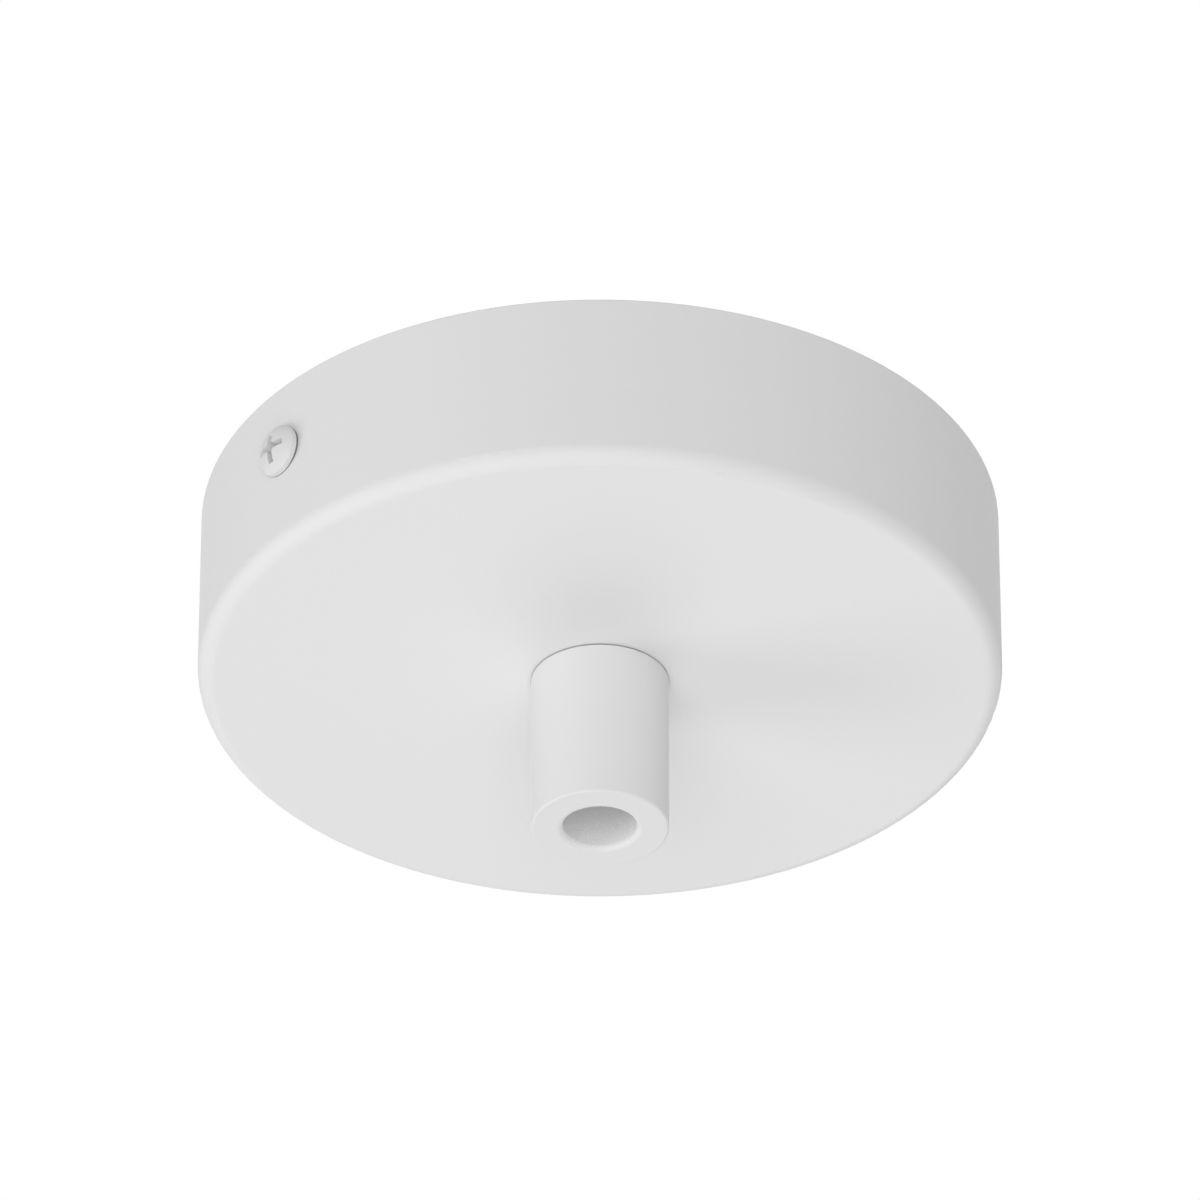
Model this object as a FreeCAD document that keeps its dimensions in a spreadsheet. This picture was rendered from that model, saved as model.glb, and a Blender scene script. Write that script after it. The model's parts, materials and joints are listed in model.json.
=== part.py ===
import FreeCAD, Part
import os
import re
import Sketcher

# A one-outlet ceiling rose. The ceiling is the plane z = 0, the rose hangs below it, and the
# strap inside it and the two side screws lie along X. Lengths are in millimetres.
sizes = {
    # Cup
    "cup_diameter": 105.0,
    "cup_height": 25.0,
    "cup_wall": 1.0,
    "cup_edge_radius": 2.0,
    "wall_lean": 0.4,
    "rim_rounding": 0.3,
    "nipple_hole_clearance": 0.2,
    # Side screws and the threads that they run in
    "side_screw_depth": 10.45,
    "side_thread": 4.0,
    "side_screw_length": 8.0,
    "side_head_diameter": 7.0,
    "side_head_height": 2.0,
    "side_head_rounding": 1.2,
    "side_recess_span": 4.5,
    "side_recess_depth": 1.6,
    "side_hole_clearance": 0.3,
    "thread_clearance": 0.05,
    "seat_gap": 0.02,
    # Cord grip
    "grip_diameter": 18.0,
    "grip_length": 23.0,
    "grip_bore": 9.6,
    "grip_shoulder": 1.0,
    "grip_end_rounding": 0.3,
    "grip_relief_height": 0.2,
    "grip_relief_depth": 0.25,
    "grip_mouth_rounding": 0.8,
    "clamp_screw_height": 9.0,
    "clamp_thread": 4.0,
    "clamp_screw_length": 4.0,
    "clamp_slot_width": 0.8,
    "clamp_slot_depth": 1.0,
    # Threaded nipple, its nut and its washer
    "nipple_thread": 10.0,
    "nipple_bore": 7.6,
    "nipple_length": 15.0,
    "nipple_engagement": 8.0,
    "nipple_chamfer": 0.4,
    "gland_nut_flats": 14.0,
    "gland_nut_height": 3.0,
    "nut_corner_drop": 0.5,
    "washer_diameter": 18.0,
    "washer_thickness": 0.8,
    "washer_tooth_length": 2.0,
    "washer_tooth_width": 2.2,
    "washer_teeth": 12,
    # Mounting bracket
    "gauge": 1.5,
    "bend_radius": 1.0,
    "strap_width": 20.0,
    "ear_neck": 5.5,
    "strap_taper_length": 7.0,
    "ear_width": 12.0,
    "ear_wall_gap": 0.3,
    "ear_tail": 5.6,
    "ear_rounding": 5.5,
    "collar_wall": 1.1,
    "collar_length": 1.8,
    "collar_mouth_rounding": 0.4,
    "wire_hole": 14.0,
    "slot_width": 5.0,
    "slot_length": 16.0,
    "slot_spacing": 56.0,
    "tab_width": 30.0,
    "tab_step_start": 2.0,
    "tab_step_run": 4.0,
    "tab_step_drop": 5.0,
    "tab_corner_radius": 2.5,
    "lug_offset": 14.0,
    "lug_reach": 4.0,
    "lug_width": 11.0,
    "lug_drop": 14.0,
    "lug_corner_radius": 3.0,
    # Terminal block
    "pole_pitch": 10.0,
    "pole_width": 8.0,
    "pole_height": 9.0,
    "pole_rounding": 3.6,
    "block_length": 18.0,
    "block_gap": 0.6,
    "web_thickness": 2.5,
    "web_inset": 2.0,
    "boss_diameter": 6.4,
    "boss_height": 8.0,
    "spot_face": 6.2,
    "tube_axis_depth": 5.0,
    "tube_diameter": 5.2,
    "tube_clearance": 0.05,
    "tunnel_mouth_chamfer": 0.6,
    "tube_length": 15.0,
    "wire_bore": 3.4,
    "wire_bore_offset": 0.4,
    "chimney_diameter": 6.4,
    "chimney_depth": 12.5,
    "chimney_spread": 4.5,
    "chimney_bore": 4.8,
    "mouth_chamfer": 0.3,
    # Terminal screws
    "terminal_thread": 3.0,
    "terminal_screw_length": 4.2,
    "terminal_head_diameter": 4.4,
    "terminal_head_height": 1.6,
    "terminal_slot_width": 0.8,
    "terminal_slot_depth": 0.8,
    "terminal_tip_gap": 0.1,
    # Screws and nuts that hold the block
    "block_thread": 3.0,
    "block_hole_clearance": 0.1,
    "block_screw_length": 12.0,
    "block_head_diameter": 5.5,
    "block_head_height": 2.0,
    "block_head_rounding": 1.2,
    "block_nut_flats": 5.5,
    "block_nut_height": 2.4,
    # Earth terminal
    "earth_depth": 8.0,
    "earth_thread": 4.0,
    "earth_screw_length": 8.0,
    "earth_head_diameter": 7.6,
    "earth_head_height": 2.6,
    "earth_head_rounding": 1.5,
    "earth_recess_span": 4.4,
    "earth_recess_depth": 1.6,
    "earth_washer_diameter": 10.4,
    "earth_washer_thickness": 0.8,
    "earth_washer_clearance": 0.2,
    "cup_washer_lip": 1.2,
    "lock_washer_diameter": 7.6,
    "lock_washer_thickness": 1.0,
    "lock_washer_split": 0.8,
    # Cross recesses
    "recess_arm_width": 0.9,
}

# Places and sizes that follow from the driving ones
places = {
    "cup_radius": "cup_diameter / 2",
    "inner_radius": "cup_radius - cup_wall",
    "rim_radius": "cup_radius - wall_lean",
    "rim_inner_radius": "rim_radius - cup_wall",
    "side_seat_level": "cup_height - side_screw_depth - side_head_diameter / 2",
    "side_seat": "cup_radius - wall_lean * side_seat_level / cup_height",
    "floor_top": "cup_wall - cup_height",
    "nipple_radius": "nipple_thread / 2",
    "nipple_top": "nipple_length - nipple_engagement - cup_height",
    "grip_radius": "grip_diameter / 2",
    "grip_bore_radius": "grip_bore / 2",
    "seat_radius": "nipple_thread / 2 + thread_clearance",
    "side_bore_radius": "side_thread / 2 + thread_clearance",
    "earth_bore_radius": "earth_thread / 2 + thread_clearance",
    "ear_face": "sqrt(rim_inner_radius ^ 2 - (ear_width / 2) ^ 2) - ear_wall_gap",
    "ear_inside": "ear_face - gauge",
    "ear_bottom": "-side_screw_depth - ear_tail",
    "strap_edge": "strap_width / 2",
    "taper_end": "ear_face - ear_neck",
    "taper_start": "taper_end - strap_taper_length",
    "step_start": "strap_edge + tab_step_start",
    "step_end": "step_start + tab_step_run",
    "step_shift": "gauge * tan(atan(tab_step_drop / tab_step_run) / 2)",
    "tab_underside": "-tab_step_drop - gauge",
    "block_middle": "step_end + block_gap + block_length / 2",
    "tab_end": "block_middle + block_length / 2 - web_inset",
    "boss_shift": "pole_pitch / 2",
    "lug_face": "-strap_edge - lug_reach",
    "tube_radius": "tube_diameter / 2",
    "tube_level": "tab_underside - tube_axis_depth",
    "wire_bore_low": "tube_level + wire_bore_offset - wire_bore / 2",
    "terminal_seat": "wire_bore_low - terminal_tip_gap - terminal_screw_length",
    "block_seat": "tab_underside - boss_height",
    "tab_top": "-tab_step_drop",
    "washers_thickness": "earth_washer_thickness + lock_washer_thickness",
}

doc = FreeCAD.newDocument("ceiling_rose")
sheet = doc.addObject("Spreadsheet::Sheet", "sizes")
for row, (name, number) in enumerate(sizes.items(), start=1):
    sheet.set(f"A{row}", name)
    sheet.set(f"B{row}", str(number))
    sheet.setAlias(f"B{row}", name)
doc.recompute()


def formula(text):
    """Write a formula in the sheet's own names, with each place put in full."""
    def in_full(match):
        word = match.group(0)
        if word in places:
            return "(" + formula(places[word]) + ")"
        if word in sizes:
            return "sizes." + word
        return word
    return re.sub(r"[a-z][a-z_]*", in_full, text)


def value(text):
    """Work a formula out with the numbers that the sheet holds now."""
    return float(sheet.evalExpression(formula(text)))


def bind(target, **formulas):
    for prop, text in formulas.items():
        target.setExpression(prop, formula(text))


def put(body, x="0", y="0", z="0", axis=(0, 0, 1), angle=0):
    """Turn a body about its own origin and set that origin down."""
    turn = FreeCAD.Rotation(FreeCAD.Vector(*axis), angle)
    body.Placement = FreeCAD.Placement(FreeCAD.Vector(), turn)
    for letter, text in (("x", x), ("y", y), ("z", z)):
        body.setExpression(f"Placement.Base.{letter}", formula(text))


def new_body(label):
    body = doc.addObject("PartDesign::Body", label)
    body.Label = label
    return body


def origin_plane(body, role):
    return next(item for item in body.Origin.OriginFeatures if item.Role == role)


def new_sketch(body, plane, name, offset="0"):
    """Start a sketch on XY, XZ or YZ, moved along that plane's normal by offset."""
    sketch = body.newObject("Sketcher::SketchObject", name)
    sketch.AttachmentSupport = [(origin_plane(body, plane + "_Plane"), "")]
    sketch.MapMode = "FlatFace"
    sketch.setExpression("AttachmentOffset.Base.z", formula(offset))
    return sketch


def pin_point(sketch, geometry, point, x, y):
    """Hold one point of the sketch at the place that two formulas give."""
    for kind, text in (("DistanceX", x), ("DistanceY", y)):
        constraint = Sketcher.Constraint(kind, -1, 1, geometry, point, value(text))
        index = sketch.addConstraint(constraint)
        if text != "0":
            sketch.setExpression(f"Constraints[{index}]", formula(text))


def outline(sketch, corners):
    """Draw a closed outline of straight lines through the corners."""
    first = sketch.GeometryCount
    points = [FreeCAD.Vector(value(x), value(y), 0) for x, y in corners]
    for here, there in zip(points, points[1:] + points[:1]):
        sketch.addGeometry(Part.LineSegment(here, there), False)
    for index, (x, y) in enumerate(corners):
        following = first + (index + 1) % len(corners)
        sketch.addConstraint(Sketcher.Constraint("Coincident", first + index, 2, following, 1))
        pin_point(sketch, first + index, 1, x, y)


def rectangle(sketch, left, right, low, high):
    outline(sketch, [(left, low), (right, low), (right, high), (left, high)])


def circle(sketch, x, y, radius):
    centre = FreeCAD.Vector(value(x), value(y), 0)
    index = sketch.addGeometry(Part.Circle(centre, FreeCAD.Vector(0, 0, 1), value(radius)), False)
    pin_point(sketch, index, 3, x, y)
    size = sketch.addConstraint(Sketcher.Constraint("Radius", index, value(radius)))
    sketch.setExpression(f"Constraints[{size}]", formula(radius))


def hexagon(sketch, across_flats):
    """Draw a hexagon about the origin, with a corner on the sketch's x axis."""
    corner = f"({across_flats} / sqrt(3))"
    flat = f"({across_flats} / 2)"
    outline(sketch, [(corner, "0"), (f"{corner} / 2", flat), (f"-{corner} / 2", flat),
                     (f"-{corner}", "0"), (f"-{corner} / 2", f"-{flat}"), (f"{corner} / 2", f"-{flat}")])


def slot(sketch, x, length, width):
    """Draw a slot along the sketch's x axis with its middle at x."""
    radius = value(f"{width} / 2")
    reach = f"({length} - {width}) / 2"
    left, right = f"{x} - {reach}", f"{x} + {reach}"
    normal = FreeCAD.Vector(0, 0, 1)
    near, far = FreeCAD.Vector(value(left), 0, 0), FreeCAD.Vector(value(right), 0, 0)
    rise = FreeCAD.Vector(0, radius, 0)
    quarter = 1.5707963267948966
    top = sketch.addGeometry(Part.LineSegment(near + rise, far + rise), False)
    right_end = sketch.addGeometry(
        Part.ArcOfCircle(Part.Circle(far, normal, radius), -quarter, quarter), False)
    bottom = sketch.addGeometry(Part.LineSegment(far - rise, near - rise), False)
    left_end = sketch.addGeometry(
        Part.ArcOfCircle(Part.Circle(near, normal, radius), quarter, 3 * quarter), False)
    sketch.addConstraint([
        Sketcher.Constraint("Tangent", top, 2, right_end, 2),
        Sketcher.Constraint("Tangent", right_end, 1, bottom, 1),
        Sketcher.Constraint("Tangent", bottom, 2, left_end, 2),
        Sketcher.Constraint("Tangent", left_end, 1, top, 1),
        Sketcher.Constraint("Equal", left_end, right_end),
    ])
    pin_point(sketch, left_end, 3, left, "0")
    pin_point(sketch, right_end, 3, right, "0")
    size = sketch.addConstraint(Sketcher.Constraint("Radius", right_end, radius))
    sketch.setExpression(f"Constraints[{size}]", formula(f"{width} / 2"))


def swept(body, kind, name, sketch, length, sides="One side", backwards=False):
    """Pad or pocket a sketch. A pocket runs against its sketch's normal unless it is backwards."""
    feature = body.newObject("PartDesign::" + kind, name)
    feature.Profile = sketch
    feature.SideType = sides
    feature.Reversed = backwards
    bind(feature, Length=length)
    return feature


def pad(body, name, sketch, length, sides="One side", backwards=False):
    feature = swept(body, "Pad", name, sketch, length, sides, backwards)
    doc.recompute()
    return feature


def pocket(body, name, sketch, length, sides="One side", backwards=False):
    """Cut a pocket, and make sure that it takes material away."""
    before = body.Tip.Shape.Volume
    feature = swept(body, "Pocket", name, sketch, length, sides, backwards)
    doc.recompute()
    if not feature.Shape.Volume < before:
        raise ValueError(f"{body.Label}: {name} cuts nothing")
    return feature


def turned(body, name, sketch, axis="V_Axis", kind="Revolution"):
    feature = body.newObject("PartDesign::" + kind, name)
    feature.Profile = sketch
    feature.ReferenceAxis = (sketch, [axis])
    feature.Angle = 360
    doc.recompute()
    return feature


def near(number, text):
    return abs(number - value(text)) < 1e-3


def level(box, text):
    """Say whether an edge lies flat at one height."""
    return near(box.ZMin, text) and near(box.ZMax, text)


def eased(body, name, wanted, size, kind="Fillet"):
    """Round or chamfer the edges that the test accepts."""
    base = body.Tip
    found = [f"Edge{number}" for number, edge in enumerate(base.Shape.Edges, start=1)
             if wanted(edge.BoundBox)]
    if not found:
        raise ValueError(f"{body.Label}: {name} finds no edge")
    feature = body.newObject("PartDesign::" + kind, name)
    feature.Base = (base, found)
    bind(feature, **{"Radius" if kind == "Fillet" else "Size": size})
    doc.recompute()
    return feature


def ring_edge(height, radius):
    """Test for a full circle about the z axis at one height and radius."""
    return lambda box: level(box, height) and near(box.XMax, radius) and near(-box.XMin, radius)


# Cup


def make_cup():
    body = new_body("cup")
    section = new_sketch(body, "XZ", "section")
    outline(section, [("0", "-cup_height"), ("cup_radius", "-cup_height"), ("rim_radius", "0"),
                      ("rim_inner_radius", "0"), ("inner_radius", "floor_top"), ("0", "floor_top")])
    turned(body, "drawn_shell", section)
    eased(body, "outer_edge", ring_edge("-cup_height", "cup_radius"), "cup_edge_radius")
    eased(body, "inner_edge", ring_edge("floor_top", "inner_radius"),
          "max(cup_edge_radius - cup_wall; 0.2)")
    eased(body, "rim", lambda box: level(box, "0") and box.XLength > 1, "rim_rounding")
    outlet = new_sketch(body, "XY", "outlet", "floor_top")
    circle(outlet, "0", "0", "nipple_radius + nipple_hole_clearance")
    pocket(body, "outlet_hole", outlet, "cup_wall")
    side = new_sketch(body, "YZ", "side", "-cup_radius")
    circle(side, "0", "-side_screw_depth", "side_thread / 2 + side_hole_clearance")
    pocket(body, "side_holes", side, "cup_diameter", backwards=True)
    return body


# Screws and nuts


def headed_screw(label, thread, length, head, height, rounding):
    """A screw with its head on z = 0 and its shank below."""
    body = new_body(label)
    section = new_sketch(body, "XZ", "section")
    outline(section, [("0", f"-{length}"), (f"{thread} / 2", f"-{length}"), (f"{thread} / 2", "0"),
                      (f"{head} / 2", "0"), (f"{head} / 2", height), ("0", height)])
    turned(body, "blank", section)
    eased(body, "tip", ring_edge(f"-{length}", f"{thread} / 2"), f"{thread} / 12", "Chamfer")
    eased(body, "crown", ring_edge(height, f"{head} / 2"), rounding)
    return body


def cross_recess(body, height, span, depth):
    """Two crossed slots that narrow towards their floor."""
    for name, across, along in (("arm", f"{span} / 2", "recess_arm_width / 2"),
                                ("cross_arm", "recess_arm_width / 2", f"{span} / 2")):
        arm = new_sketch(body, "XY", name, height)
        rectangle(arm, f"-{across}", across, f"-{along}", along)
        cut = pocket(body, name + "_recess", arm, depth)
        cut.TaperAngle = -8
    doc.recompute()


def straight_slot(body, top, reach, width, depth):
    cut = new_sketch(body, "XY", "slot", top)
    rectangle(cut, f"-{reach}", reach, f"-{width} / 2", f"{width} / 2")
    pocket(body, "screwdriver_slot", cut, depth)


def hex_nut(label, flats, height, bore):
    """A hexagon nut on z = 0, with its corners turned off at both ends."""
    body = new_body(label)
    plan = new_sketch(body, "XY", "plan")
    hexagon(plan, flats)
    circle(plan, "0", "0", bore)
    pad(body, "blank", plan, height)
    corner = f"{flats} / sqrt(3) + 1"
    inner = f"{flats} / 2"
    drop = "nut_corner_drop * (1 + 2 / sqrt(3) * 3)"
    section = new_sketch(body, "XZ", "corner_section")
    outline(section, [(inner, height), (corner, height), (corner, f"{height} - {drop}")])
    outline(section, [(inner, "0"), (corner, "0"), (corner, drop)])
    turned(body, "turned_corners", section, kind="Groove")
    return body


def make_side_screws():
    for side, angle in (("left", -90), ("right", 90)):
        body = headed_screw("side_screw_" + side, "side_thread", "side_screw_length",
                            "side_head_diameter", "side_head_height", "side_head_rounding")
        cross_recess(body, "side_head_height", "side_recess_span", "side_recess_depth")
        reach = "side_seat + seat_gap"
        put(body, x=reach if side == "right" else f"-({reach})", z="-side_screw_depth",
            axis=(0, 1, 0), angle=angle)


# Cord grip and the nipple that carries it


def make_cord_grip():
    body = new_body("cord_grip_body")
    section = new_sketch(body, "XZ", "section")
    shoulder_top = "-nipple_engagement - seat_gap"
    shoulder_low = "-nipple_engagement - seat_gap - grip_shoulder"
    outline(section, [("seat_radius", "0"), ("grip_radius - grip_relief_depth", "0"),
                      ("grip_radius - grip_relief_depth", "-grip_relief_height"),
                      ("grip_radius", "-grip_relief_height"), ("grip_radius", "-grip_length"),
                      ("grip_bore_radius", "-grip_length"), ("grip_bore_radius", shoulder_low),
                      ("nipple_bore / 2", shoulder_low), ("nipple_bore / 2", shoulder_top),
                      ("seat_radius", shoulder_top)])
    turned(body, "turned_barrel", section)
    eased(body, "end_edge", ring_edge("-grip_length", "grip_radius"), "grip_end_rounding")
    eased(body, "mouth_edge", ring_edge("-grip_length", "grip_bore_radius"), "grip_mouth_rounding")
    tapping = new_sketch(body, "XZ", "tapping")
    circle(tapping, "0", "clamp_screw_height - grip_length", "clamp_thread / 2 + thread_clearance")
    pocket(body, "clamp_hole", tapping, "grip_radius")
    put(body, z="-cup_height")


def make_clamp_screw():
    """The grub screw stands in the wall of the grip with both ends flush."""
    body = new_body("cord_clamp_screw")
    plan = new_sketch(body, "XY", "plan")
    circle(plan, "0", "0", "clamp_thread / 2")
    pad(body, "shank", plan, "clamp_screw_length", backwards=True)
    eased(body, "tip", ring_edge("-clamp_screw_length", "clamp_thread / 2"), "clamp_thread / 12", "Chamfer")
    straight_slot(body, "0", "clamp_thread", "clamp_slot_width", "clamp_slot_depth")
    put(body, y="grip_bore_radius + thread_clearance + clamp_screw_length",
        z="-cup_height - grip_length + clamp_screw_height", axis=(1, 0, 0), angle=-90)


def make_nipple():
    body = new_body("threaded_nipple")
    plan = new_sketch(body, "XY", "plan")
    circle(plan, "0", "0", "nipple_radius")
    circle(plan, "0", "0", "nipple_bore / 2")
    pad(body, "tube", plan, "nipple_length", backwards=True)
    eased(body, "ends", lambda box: near(box.XMax, "nipple_radius") and box.ZLength < 1e-3,
          "nipple_chamfer", "Chamfer")
    put(body, z="nipple_top")


def make_lock_washer():
    """A flat ring with teeth standing out from it, under the nut."""
    body = new_body("lock_washer")
    plan = new_sketch(body, "XY", "plan")
    ring_radius = "washer_diameter / 2 - washer_tooth_length"
    circle(plan, "0", "0", ring_radius)
    circle(plan, "0", "0", "nipple_radius + nipple_hole_clearance")
    pad(body, "ring", plan, "washer_thickness")
    tooth = new_sketch(body, "XY", "tooth")
    outline(tooth, [(f"{ring_radius} - 0.5", "-washer_tooth_width / 2"),
                    ("washer_diameter / 2", "-washer_tooth_width / 3"),
                    ("washer_diameter / 2", "washer_tooth_width / 3"),
                    (f"{ring_radius} - 0.5", "washer_tooth_width / 2")])
    tooth_pad = pad(body, "one_tooth", tooth, "washer_thickness")
    teeth = body.newObject("PartDesign::PolarPattern", "teeth")
    teeth.Originals = [tooth_pad]
    teeth.Axis = (plan, ["N_Axis"])
    teeth.Angle = 360
    bind(teeth, Occurrences="washer_teeth")
    body.Tip = teeth
    doc.recompute()
    put(body, z="floor_top")


def make_gland_nut():
    body = hex_nut("gland_nut", "gland_nut_flats", "gland_nut_height", "seat_radius")
    put(body, z="floor_top + washer_thickness")


# Mounting bracket


def folded(body, name, plane, corners, width, offset="0"):
    """Pad a folded section both ways from its plane."""
    section = new_sketch(body, plane, name + "_section", offset)
    outline(section, corners)
    return pad(body, name, section, width, sides="Symmetric")


def bend(body, name, inner, outer, along):
    """Round a fold, with the sheet's thickness kept round it."""
    def at(points):
        def wanted(box):
            if along == "Y":
                spot = (box.XMin, box.XMax, box.ZMin, box.ZMax)
                length = box.YLength
            else:
                spot = (box.YMin, box.YMax, box.ZMin, box.ZMax)
                length = box.XLength
            if length < 1:
                return False
            return any(near(spot[0], p) and near(spot[1], p) and near(spot[2], q) and near(spot[3], q)
                       for p, q in points)
        return wanted
    eased(body, name + "_inside", at(inner), "bend_radius")
    eased(body, name + "_outside", at(outer), "bend_radius + gauge")


def make_bracket():
    body = new_body("mounting_bracket")
    # The strap lies on the ceiling and turns down into an ear at each end
    folded(body, "strap", "XZ", [
        ("-ear_face", "ear_bottom"), ("-ear_face", "0"), ("ear_face", "0"), ("ear_face", "ear_bottom"),
        ("ear_inside", "ear_bottom"), ("ear_inside", "-gauge"), ("-ear_inside", "-gauge"),
        ("-ear_inside", "ear_bottom")], "strap_width")
    bend(body, "ear_bend", [("ear_inside", "-gauge"), ("-ear_inside", "-gauge")],
         [("ear_face", "0"), ("-ear_face", "0")], "Y")
    # The strap narrows to the ears, so that they clear the round wall
    taper = new_sketch(body, "XY", "taper")
    for x_sign in ("", "-"):
        for y_sign in ("", "-"):
            outline(taper, [(f"{x_sign}{x}", f"{y_sign}{y}") for x, y in (
                ("taper_start", "strap_edge"), ("taper_end", "(ear_width / 2)"),
                ("cup_radius", "(ear_width / 2)"), ("cup_radius", "strap_width"),
                ("taper_start", "strap_width"))])
    pocket(body, "tapered_ends", taper, "cup_height")
    eased(body, "ear_tips", lambda box: level(box, "ear_bottom") and near(box.XLength, "gauge"),
          "ear_rounding")
    # The tab steps down from the strap's edge and carries the terminal block
    folded(body, "tab", "YZ", [
        ("strap_edge - 1", "0"), ("step_start", "0"), ("step_end", "tab_top"), ("tab_end", "tab_top"),
        ("tab_end", "tab_underside"), ("step_end - step_shift", "tab_underside"),
        ("step_start - step_shift", "-gauge"), ("strap_edge - 1", "-gauge")], "tab_width")
    bend(body, "tab_step",
         [("step_end", "tab_top"), ("step_start - step_shift", "-gauge")],
         [("step_start", "0"), ("step_end - step_shift", "tab_underside")], "X")
    eased(body, "tab_corners", lambda box: near(box.YMin, "tab_end") and near(box.YMax, "tab_end")
          and near(box.ZLength, "gauge"), "tab_corner_radius")
    # The earth lug folds down beside the strap
    folded(body, "lug", "YZ", [
        ("1 - strap_edge", "0"), ("lug_face", "0"), ("lug_face", "-lug_drop"),
        ("lug_face + gauge", "-lug_drop"), ("lug_face + gauge", "-gauge"), ("1 - strap_edge", "-gauge")],
        "lug_width", "lug_offset")
    bend(body, "lug_bend", [("lug_face + gauge", "-gauge")], [("lug_face", "0")], "X")
    eased(body, "lug_corners", lambda box: level(box, "-lug_drop") and near(box.YLength, "gauge"),
          "lug_corner_radius")
    # Holes through the strap and the tab
    holes = new_sketch(body, "XY", "holes")
    circle(holes, "0", "0", "wire_hole / 2")
    for sign in ("", "-"):
        slot(holes, f"{sign}slot_spacing / 2", "slot_length", "slot_width")
        circle(holes, f"{sign}boss_shift", "block_middle", "block_thread / 2 + block_hole_clearance")
    pocket(body, "punched_holes", holes, "tab_step_drop + 2 * gauge")
    # Drawn collars give the screws more thread than the sheet alone has
    collar = new_sketch(body, "YZ", "collar", "ear_inside - collar_length")
    circle(collar, "0", "-side_screw_depth", "side_bore_radius + collar_wall")
    collar_pad = pad(body, "ear_collar", collar, "collar_length + gauge / 2")
    tapping = new_sketch(body, "YZ", "ear_tapping", "ear_inside - collar_length")
    circle(tapping, "0", "-side_screw_depth", "side_bore_radius")
    tapped = pocket(body, "ear_thread", tapping, "collar_length + gauge", backwards=True)
    pair = body.newObject("PartDesign::Mirrored", "other_ear")
    pair.Originals = [collar_pad, tapped]
    pair.MirrorPlane = (origin_plane(body, "YZ_Plane"), [""])
    body.Tip = pair
    doc.recompute()
    lug_collar = new_sketch(body, "XZ", "lug_collar", "-(lug_face + gauge + collar_length)")
    circle(lug_collar, "lug_offset", "-earth_depth", "earth_bore_radius + collar_wall")
    pad(body, "earth_collar", lug_collar, "collar_length + gauge / 2")
    lug_tapping = new_sketch(body, "XZ", "lug_tapping", "-(lug_face + gauge + collar_length)")
    circle(lug_tapping, "lug_offset", "-earth_depth", "earth_bore_radius")
    pocket(body, "earth_thread_hole", lug_tapping, "collar_length + gauge", backwards=True)
    eased(body, "collar_mouths", is_collar_mouth, "collar_mouth_rounding")


def is_collar_mouth(box):
    """The round edge where a screw enters the ear or the lug."""
    on_ear = near(box.XMax, "ear_face") or near(-box.XMin, "ear_face")
    ear_hole = on_ear and box.XLength < 1e-3 and near(box.YMax, "side_bore_radius")
    on_lug = near(box.YMin, "lug_face") and box.YLength < 1e-3
    return ear_hole or (on_lug and near(box.XMax, "lug_offset + earth_bore_radius"))


# Terminal block, built down from the tab that it hangs on


def pole_places():
    return [f"{step} * pole_pitch" for step in (-1, 0, 1)]


def make_terminal_block():
    body = new_body("terminal_block_body")
    ends = new_sketch(body, "XZ", "pole_ends")
    for x in pole_places():
        rectangle(ends, f"{x} - pole_width / 2", f"{x} + pole_width / 2", "-pole_height", "0")
    web = new_sketch(body, "XY", "web_plan")
    rectangle(web, "-pole_pitch", "pole_pitch", "web_inset - block_length / 2",
              "block_length / 2 - web_inset")
    pad(body, "web", web, "web_thickness", backwards=True)
    pad(body, "poles", ends, "block_length", sides="Symmetric")
    eased(body, "pole_rounding",
          lambda box: level(box, "-pole_height") and near(box.YLength, "block_length"), "pole_rounding")
    bosses = new_sketch(body, "XY", "boss_plan")
    for sign in ("", "-"):
        circle(bosses, f"{sign}boss_shift", "0", "boss_diameter / 2")
    pad(body, "bosses", bosses, "boss_height", backwards=True)
    chimneys = new_sketch(body, "XY", "chimney_plan", "-tube_axis_depth")
    bores = new_sketch(body, "XY", "chimney_bore_plan", "-chimney_depth")
    for x in pole_places():
        for sign in ("", "-"):
            circle(chimneys, x, f"{sign}chimney_spread", "chimney_diameter / 2")
            circle(bores, x, f"{sign}chimney_spread", "chimney_bore / 2")
    pad(body, "chimneys", chimneys, "chimney_depth - tube_axis_depth", backwards=True)
    pocket(body, "chimney_bores", bores, "chimney_depth - tube_axis_depth", backwards=True)
    tunnels = new_sketch(body, "XZ", "tunnel_ends")
    for x in pole_places():
        circle(tunnels, x, "-tube_axis_depth", "tube_radius + tube_clearance")
    pocket(body, "tube_tunnels", tunnels, "block_length", sides="Symmetric")
    eased(body, "wire_entries", is_wire_entry, "tunnel_mouth_chamfer", "Chamfer")
    spots = new_sketch(body, "XY", "spot_face_plan", "-chimney_depth")
    holes = new_sketch(body, "XY", "fixing_hole_plan", "-boss_height")
    for sign in ("", "-"):
        circle(spots, f"{sign}boss_shift", "0", "spot_face / 2")
        circle(holes, f"{sign}boss_shift", "0", "block_thread / 2 + block_hole_clearance")
    pocket(body, "spot_faces", spots, "chimney_depth - boss_height", backwards=True)
    pocket(body, "fixing_holes", holes, "boss_height", backwards=True)
    eased(body, "chimney_mouths", lambda box: level(box, "-chimney_depth"), "mouth_chamfer", "Chamfer")
    put(body, y="block_middle", z="tab_underside")


def is_wire_entry(box):
    """The round mouth of a tunnel in either end of the block."""
    at_end = near(box.YMax, "block_length / 2") or near(-box.YMin, "block_length / 2")
    return at_end and box.YLength < 1e-3 and near(box.XLength, "tube_diameter + 2 * tube_clearance")


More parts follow.
